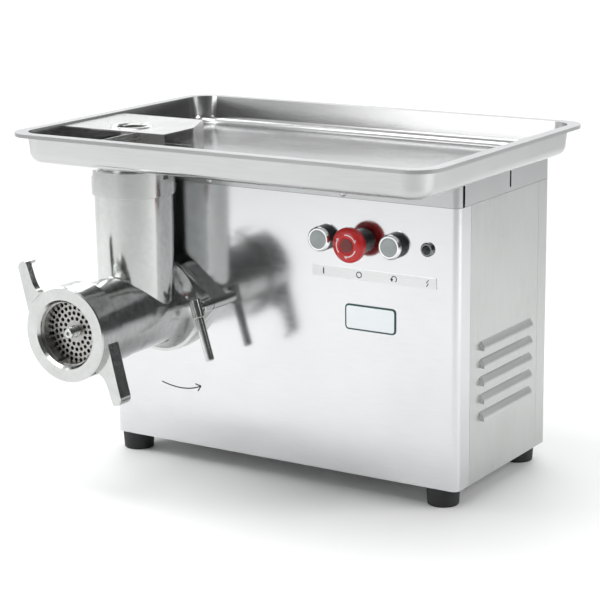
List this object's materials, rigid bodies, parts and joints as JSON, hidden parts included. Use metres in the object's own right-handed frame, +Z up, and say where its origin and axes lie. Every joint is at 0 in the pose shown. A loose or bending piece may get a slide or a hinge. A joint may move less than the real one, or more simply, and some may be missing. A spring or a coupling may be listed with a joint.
{
  "type": "electric meat grinder",
  "caption": "Table-top electric meat grinder: steel casing with geared motor, head with auger, knife and plate, ring nut, clamp screw, guarded feed tray and push-button controls.",
  "frame": {"origin": "centre of the machine's footprint, on the table", "axes": "+Z up, -Y towards the user, +X to the user's right, along the casing's long side"},
  "size_m": [0.545, 0.435, 0.4165],
  "materials": {
    "sheet_steel": "satin stainless sheet",
    "cast_steel": "polished stainless casting",
    "plate_steel": "ground tool steel",
    "bezel_steel": "polished",
    "screw_steel": "polished",
    "foot_rubber": "matt moulded",
    "gearbox_casting": "sand cast",
    "motor_aluminium": "die cast",
    "core_steel": "laminated, varnished",
    "bearing_steel": "ground",
    "gear_steel": "cut and ground",
    "bush_bronze": "turned",
    "cowl_paint": "satin paint",
    "switch_plastic": "moulded",
    "button_plastic": "moulded",
    "stop_plastic": "moulded red",
    "lens_plastic": "dark translucent",
    "label_film": "printed polyester film",
    "badge_paint": "printed aluminium"
  },
  "bodies": {
    "chassis": {"base_frame": "sheet_steel", "rubber_feet": "foot_rubber", "foot_screws": "screw_steel", "front_panel": "sheet_steel", "left_side_panel": "sheet_steel", "right_side_panel": "sheet_steel", "rear_cover": "sheet_steel", "cover_screws": "screw_steel", "top_cap": "sheet_steel", "cap_bolts": "screw_steel", "gearbox_case": "gearbox_casting", "gearbox_cover": "gearbox_casting", "gearbox_bolts": "screw_steel", "drive_flange": "cast_steel", "flange_screws": "screw_steel", "retaining_hook": "cast_steel", "shaft_seal": "foot_rubber", "output_bearings": "bearing_steel", "layshaft_bearings": "bearing_steel", "motor_frame": "motor_aluminium", "stator": "core_steel", "motor_end_shield": "motor_aluminium", "motor_bearings": "bearing_steel", "fan_cowl": "cowl_paint", "contactor": "switch_plastic", "run_capacitor": "motor_aluminium", "button_bezels": "bezel_steel", "stop_collar": "bezel_steel", "button_nuts": "switch_plastic", "contact_blocks": "switch_plastic", "lamp_bezel": "bezel_steel", "lamp_lens": "lens_plastic", "legend_plate": "label_film", "badge_plate": "badge_paint", "cable_gland": "switch_plastic", "head_housing": "cast_steel", "neck_collar": "cast_steel", "head_bush": "bush_bronze", "undercut_plate": "plate_steel", "perforated_plate": "plate_steel"},
    "auger_train": {"auger": "cast_steel", "knife": "plate_steel", "output_shaft": "bearing_steel", "output_gear": "gear_steel"},
    "layshaft_train": {"layshaft": "gear_steel", "layshaft_gear": "gear_steel"},
    "rotor": {"rotor_shaft": "bearing_steel", "rotor_core": "core_steel", "motor_pinion": "gear_steel", "cooling_fan": "switch_plastic"},
    "thrust_washer": {"thrust_ring": "plate_steel"},
    "front_nut": {"ring_nut": "cast_steel"},
    "clamp": {"clamp_screw": "cast_steel", "clamp_handle": "cast_steel"},
    "start_cap": {"start_button": "button_plastic"},
    "reverse_cap": {"reverse_button": "button_plastic"},
    "stop_shaft": {"stop_stem": "switch_plastic"},
    "stop_head": {"stop_button": "stop_plastic"},
    "feed_tray": {"tray": "sheet_steel", "throat_guard": "sheet_steel"}
  },
  "joints": [
    {"name": "motor_spin", "type": "hinge", "parent": "chassis", "child": "rotor", "pos_m": [-0.05242, 0.1, 0.17146], "axis": [0, -1, 0], "continuous": true},
    {"name": "layshaft_spin", "type": "hinge", "parent": "chassis", "child": "layshaft_train", "pos_m": [-0.11741, 0.02, 0.16], "axis": [0, -1, 0], "continuous": true},
    {"name": "auger_spin", "type": "hinge", "parent": "chassis", "child": "auger_train", "pos_m": [-0.1815, -0.06, 0.197], "axis": [0, -1, 0], "continuous": true},
    {"name": "thrust_ring_travel", "type": "slide", "parent": "chassis", "child": "thrust_washer", "axis": [0, -1, 0], "range_m": [0, 0.0081]},
    {"name": "ring_nut_turn", "type": "hinge", "parent": "thrust_washer", "child": "front_nut", "pos_m": [-0.1815, -0.2, 0.197], "axis": [0, -1, 0], "range_deg": [0, 720]},
    {"name": "clamp_turn", "type": "hinge", "parent": "chassis", "child": "clamp", "pos_m": [-0.10882, -0.05, 0.20387], "axis": [0, -1, 0], "range_deg": [-45, 180]},
    {"name": "start_press", "type": "slide", "parent": "chassis", "child": "start_cap", "axis": [0, 1, 0], "range_m": [0, 0.0035], "stiffness_N_per_m": 400},
    {"name": "reverse_press", "type": "slide", "parent": "chassis", "child": "reverse_cap", "axis": [0, 1, 0], "range_m": [0, 0.0035], "stiffness_N_per_m": 400},
    {"name": "stop_press", "type": "slide", "parent": "chassis", "child": "stop_shaft", "axis": [0, 1, 0], "range_m": [0, 0.005], "stiffness_N_per_m": 600},
    {"name": "stop_twist", "type": "hinge", "parent": "stop_shaft", "child": "stop_head", "pos_m": [0.0877, -0.045, 0.296], "axis": [0, 1, 0], "range_deg": [0, 35], "stiffness_Nm_per_rad": 0.05},
    {"name": "tray_lift", "type": "slide", "parent": "chassis", "child": "feed_tray", "axis": [0, 0, 1], "range_m": [0, 0.06]}
  ],
  "couplings": [
    {"joint": "layshaft_spin", "follows": "motor_spin", "ratio": -0.375},
    {"joint": "auger_spin", "follows": "motor_spin", "ratio": 0.12054},
    {"joint": "thrust_ring_travel", "follows": "ring_nut_turn", "m_per_rad": 0.00063662}
  ]
}
